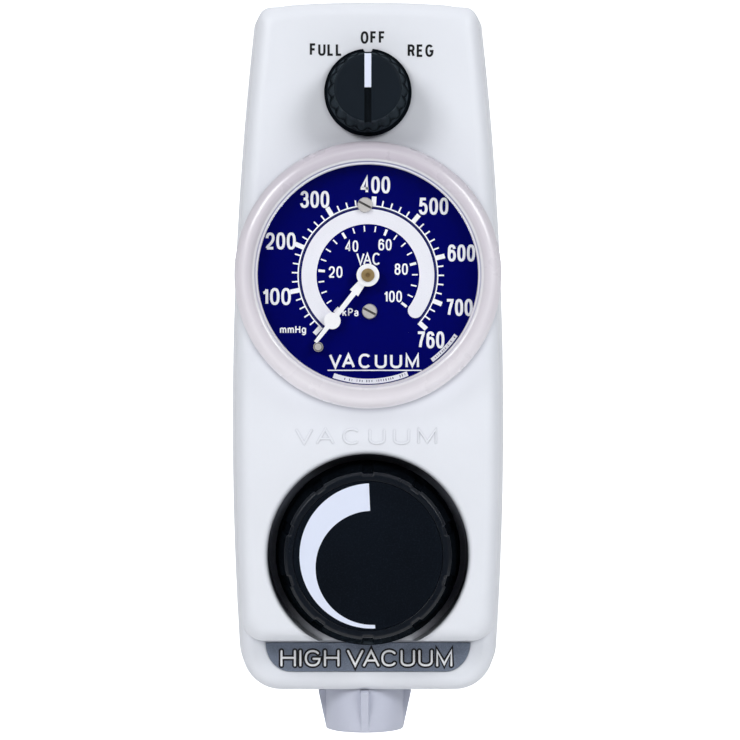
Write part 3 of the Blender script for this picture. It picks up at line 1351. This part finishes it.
def selector_index():
    """White line in the upper half of the groove."""
    index = Flat(SELECTOR_FRONT + 0.78, 0.80)
    top, bottom = SELECTOR_Z + 8.05, SELECTOR_Z + 0.1
    index.strip([(-0.79, top), (0.79, top)], [(-0.79, bottom), (0.79, bottom)])
    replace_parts(index.build("selector_index_line", "mark_white", "selector", "mark_white"),
                "selector_index")


# ---------------------------------------------------------------- outlet port
OUTLET_R = 9.7
OUTLET_MOUTH = OUTLET_LO[2]                         # z of the open lower end
OUTLET_COLLAR = -118.1                              # z of the top of the ribbed body
RIB_TOPS = (-119.35, -118.6, -119.35, -120.35)      # z on the +X, front, -X and back ribs


def outlet_rib(r, z, angle):
    """Added radius of four upright ribs that deepen towards their tops."""
    quarters = angle / (math.pi / 2)
    part = quarters % 1.0
    top = RIB_TOPS[int(round(quarters)) % 4]
    arc = min(part, 1 - part) * math.pi / 2 * r
    across = 1.0 - ease((arc - 0.78) / 0.30)
    start = OUTLET_MOUTH + 0.55
    height = 1.85 * min(1.0, max(0.0, (z - start) / (top - 0.6 - start)))
    height *= 1.0 - ease((z - (top - 0.35)) / 0.4)
    return height * across


def outlet_port():
    """Ribbed socket, turned about an upright axis."""
    mouth, collar, top = OUTLET_MOUTH, OUTLET_COLLAR, OUTLET_HI[2]
    profile = []                                    # r, z
    for i in range(7):
        a = math.pi / 2 * i / 6
        profile.append((OUTLET_R - 0.5 * (1 - math.sin(a)), mouth + 0.5 * (1 - math.cos(a))))
    start, rows = mouth + 0.5, 44
    profile += [(OUTLET_R, start + (collar - 0.25 - start) * i / rows)
                for i in range(1, rows + 1)]
    profile += [
        (OUTLET_R - 0.07, collar - 0.07), (OUTLET_R - 0.25, collar), (7.0, collar),
        (7.0, -115.6), (4.95, -115.6), (4.95, top), (2.5, top), (2.5, -118.5), (4.9, -118.5),
        (5.0, -118.6), (5.0, -123.6), (6.5, -123.6), (6.5, -125.2), (5.0, -125.2),
        (5.0, mouth + 0.8), (5.75, mouth + 0.08), (5.95, mouth)]
    steps = 720
    verts = []
    for j in range(steps):
        angle = 2 * math.pi * j / steps
        for r, z in profile:
            reach = r
            if r > 8.9 and mouth + 0.45 < z < collar - 0.2:
                reach += outlet_rib(r, z, angle)
            verts.append(((OUTLET_X + reach * math.cos(angle)) * MM,
                          (OUTLET_Y - reach * math.sin(angle)) * MM, z * MM))
    port = solid(verts, ring_faces([r for r, _ in profile], steps), "outlet_socket")
    finish(port, "outlet_plastic", "root", 40)
    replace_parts(port, "outlet_port")


# ---------------------------------------------------------------- inlet nut
NUT_FRONT, NUT_BACK = NUT_LO[1], NUT_HI[1]
THREAD_R, THREAD_PITCH, THREAD_DEPTH = 8.67, 1.5875, 0.80
THREAD_START = NUT_BACK - 9.0                       # inner end of the thread
NUT_GROOVES = 18


def nut_relief(r, y, angle):
    """Grip grooves outside and a cut thread inside."""
    if r > 11.3 and NUT_FRONT + 4.4 < y < NUT_BACK - 0.9:
        turn = (angle * NUT_GROOVES / (2 * math.pi)) % 1.0
        arc = min(turn, 1 - turn) * 2 * math.pi / NUT_GROOVES * r
        across = 1.0 - ease((arc - 0.55) / 0.75)
        ends = ease((y - NUT_FRONT - 4.9) / 0.9) * ease((NUT_BACK - 1.4 - y) / 0.9)
        return r - 0.48 * across * ends
    if abs(r - THREAD_R) < 0.01:
        phase = ((y - THREAD_START) / THREAD_PITCH - angle / (2 * math.pi)) % 1.0
        root = 1 - abs(2 * phase - 1)               # 0 at the crest, 1 at the root
        ends = ease((NUT_BACK - 0.5 - y) / 0.9) * ease((y - THREAD_START - 0.2) / 0.9)
        return r + THREAD_DEPTH * max(0.0, min(1.0, (root - 0.08) / 0.84)) * ends
    return r


def inlet_nut():
    front, back = NUT_FRONT, NUT_BACK
    profile = rounded([                             # r, y, fillet
        (5.7, front, 0.2), (10.6, front, 0.35), (11.6, front + 1.0, 0.4),
        (11.6, front + 3.0, 0.35), (11.0, front + 3.6, 0.1), (11.0, front + 4.0, 0.1),
        (11.9, front + 4.6, 0.3), (11.9, back - 1.4, 0.4), (11.0, back, 0.35),
        (9.6, back, 0.2), (8.85, back - 0.75, 0.1)])
    profile = densify(profile, r_min=11.5, longest=0.6, step=0.5,
                      where=lambda y: y > front + 4.4)
    rows = 84
    profile += [(THREAD_R, back - 0.75 + (THREAD_START - back + 0.75) * i / rows)
                for i in range(1, rows + 1)]
    profile += [(7.9, THREAD_START + 0.2), (7.9, THREAD_START - 6.8),
                (5.7, THREAD_START - 6.8)]
    nut = turned("inlet_union_nut", profile, 0, "chrome_plate", "inlet_nut",
                 steps=360, radial=nut_relief, angle=40)
    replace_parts(nut, "inlet_nut")


# ---------------------------------------------------------------- CAD pieces that stay
CAD_FINISHES = {
    "steel_zinc": "housing_screws manifold_screws selector_set_screw retainer_screws "
                  "selector_stop_pin detent_plug bonnet_screws sector_arbor tip_link",
    "label_panel": "label_plate",
    "aluminium": "manifold_block spool_retainer regulator_bonnet diaphragm_plate",
    "chrome_plate": "inlet_nipple detent_ball",
    "sinter": "inlet_filter",
    "rubber": "nipple_seal outlet_seal spool_orings poppet_head gauge_seal",
    "brass": "selector_spool adjusting_screw spring_seat valve_stem valve_seat valve_plug "
             "dial_posts movement_front_plate movement_back_plate movement_pillars "
             "sector_gear link_pin tube_tip",
    "spring_steel": "detent_spring range_spring poppet_spring",
    "diaphragm_rubber": "diaphragm",
    "gauge_case": "gauge_case",
    "dial_navy": "gauge_dial",
    "nickel_screw": "dial_screws pointer_stop_pin",
    "pointer_white": "pointer",
    "brass_dull": "pointer_arbor gauge_socket",
    "bronze": "bourdon_tube hairspring",
}
CAD_BEVELS = {
    "housing_screws": 0.18, "manifold_screws": 0.18, "dial_screws": 0.10,
    "pointer_stop_pin": 0.18, "pointer": 0.07, "label_plate": 0.06, "inlet_nipple": 0.15,
    "pointer_arbor": 0.08,
}


def finish_cad_pieces():
    finishes = {node: material for material, nodes in CAD_FINISHES.items()
                for node in nodes.split()}
    for name, obj in NODES.items():
        if name in finishes:
            obj.data.materials.clear()
            obj.data.materials.append(MATERIALS[finishes[name]])
    for name, width in CAD_BEVELS.items():
        bevel(NODES[name], width)


# ---------------------------------------------------------------- floor, light, camera (metres)


def floor_material():
    k = Material("floor_pale")
    _, y, _ = k.xyz(k.place)
    camera_ray = k.node("ShaderNodeLightPath").outputs["Is Camera Ray"]
    glow = k.math("MULTIPLY_ADD", camera_ray, 0.85, 0.02)
    shader = k.principled({
        "Base Color": k.ramp(k.noise(scale=3.0, detail=2.0),
                             [(0.3, (0.93, 0.93, 0.935)), (0.7, (0.95, 0.95, 0.95))]),
        "Roughness": 0.85,
        "Emission Color": (0.96, 0.97, 1.0),
        "Emission Strength": k.times(k.remap(y, (0.0, 0.50), (0.25, 1.0)), glow),
    })
    # seen from outside, the sweep lets the camera through, so it never hides the object's back
    backfacing = k.node("ShaderNodeNewGeometry").outputs["Backfacing"]
    outside = k.math("SUBTRACT", 1.0, backfacing)
    clear = k.node("ShaderNodeBsdfTransparent").outputs[0]
    k.surface(k.blend(k.times(outside, camera_ray), shader, clear))


def floor():
    """Floor that sweeps up into a wall behind the object."""
    front, wall, radius, bottom, top, half_width = -1.2, 0.60, 0.30, -0.42, 1.6, 2.4
    section = [(front, bottom), (wall - radius, bottom)]
    for i in range(1, 17):
        a = math.pi / 2 * i / 16
        section.append((wall - radius + radius * math.sin(a),
                        bottom + radius - radius * math.cos(a)))
    section.append((wall, top))
    n = len(section)
    verts = [(x, y, z) for x in (-half_width, half_width) for y, z in section]
    obj = link_mesh("floor", verts, [(i, i + 1, n + i + 1, n + i) for i in range(n - 1)])
    obj.data.shade_smooth()
    floor_material()
    obj.data.materials.append(MATERIALS["floor_pale"])


def studio_world():
    """Soft light from above and behind; the camera itself sees an even pale backdrop."""
    world = bpy.data.worlds.new("studio")
    scene.world = world
    world.use_nodes = True
    k = Nodes(world.node_tree)
    _, y, z = k.xyz(k.node("ShaderNodeTexCoord").outputs["Generated"])
    above = k.remap(z, (0.05, 0.85), (0.04, 0.32), "SMOOTHSTEP")
    behind = k.remap(y, (-0.35, 0.6), (0.0, 0.35), "SMOOTHSTEP")
    camera_ray = k.node("ShaderNodeLightPath").outputs["Is Camera Ray"]
    strength = k.node("ShaderNodeMix", {0: camera_ray, 2: k.math("ADD", above, behind), 3: 0.93})
    background = world.node_tree.nodes["Background"]
    k.feed(background.inputs["Color"], (0.94, 0.965, 1.0))
    k.feed(background.inputs["Strength"], strength.outputs[0])


LIGHT_TARGET = (0.0, -0.06, -0.03)
LEFT_TINT, RIGHT_TINT = (0.985, 0.99, 1.0), (0.975, 0.985, 1.0)
# name, place, target, width, height, power (W), colour
LIGHTS = (
    ("key_left", (-0.60, -0.80, 0.44), LIGHT_TARGET, 0.40, 0.40, 5.5, LEFT_TINT),
    ("key_right", (0.62, -0.78, 0.42), LIGHT_TARGET, 0.40, 0.40, 5.1, RIGHT_TINT),
    ("fill_left", (-0.80, -0.80, -0.28), LIGHT_TARGET, 0.6, 0.8, 0.55, LEFT_TINT),
    ("fill_right", (0.82, -0.78, -0.30), LIGHT_TARGET, 0.6, 0.8, 0.50, RIGHT_TINT),
    ("wall_wash", (0.0, 0.30, 1.15), (0.0, 0.60, 0.0), 2.2, 0.3, 2.0, (1, 1, 1)),
)


def lights():
    for name, place, target, width, height, power, colour in LIGHTS:
        light = bpy.data.lights.new(name, "AREA")
        light.energy = power
        light.color = colour
        light.shape = "RECTANGLE"
        light.size = width
        light.size_y = height
        obj = bpy.data.objects.new(name, light)
        scene.collection.objects.link(obj)
        obj.location = place
        aim = Vector(target) - Vector(place)
        obj.rotation_euler = aim.to_track_quat("-Z", "Y").to_euler()


def camera():
    data = bpy.data.cameras.new("camera")
    data.sensor_width = 36.0
    data.lens = 121.767568
    data.clip_start = 0.01
    data.clip_end = 20
    obj = bpy.data.objects.new("camera", data)
    scene.collection.objects.link(obj)
    obj.location = (VIEW_X * MM, (FRONT - VIEW_DISTANCE) * MM, VIEW_Z * MM)
    obj.rotation_euler = (math.pi / 2, 0, 0)
    scene.camera = obj
    scene.view_settings.view_transform = "Standard"
    scene.view_settings.look = "None"
    scene.view_settings.exposure = 0.0


# ---------------------------------------------------------------- build
make_materials()
for build in (front_shell, back_shell, gauge_cover, housing_words, dial_ticks, dial_band,
              dial_words, dial_edge, label_word, regulator_knob, knob_insert, knob_crescent,
              selector_knob, selector_index, outlet_port, inlet_nut, finish_cad_pieces,
              floor, studio_world, lights, camera):
    build()

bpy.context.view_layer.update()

# the coil springs shorten with the joints that load them; travel is in metres
for name, joint, travel in (("range_spring", "spring_seat_travel", 0.00301),
                            ("poppet_spring", "valve_lift", 0.0008)):
    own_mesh(NODES[name])
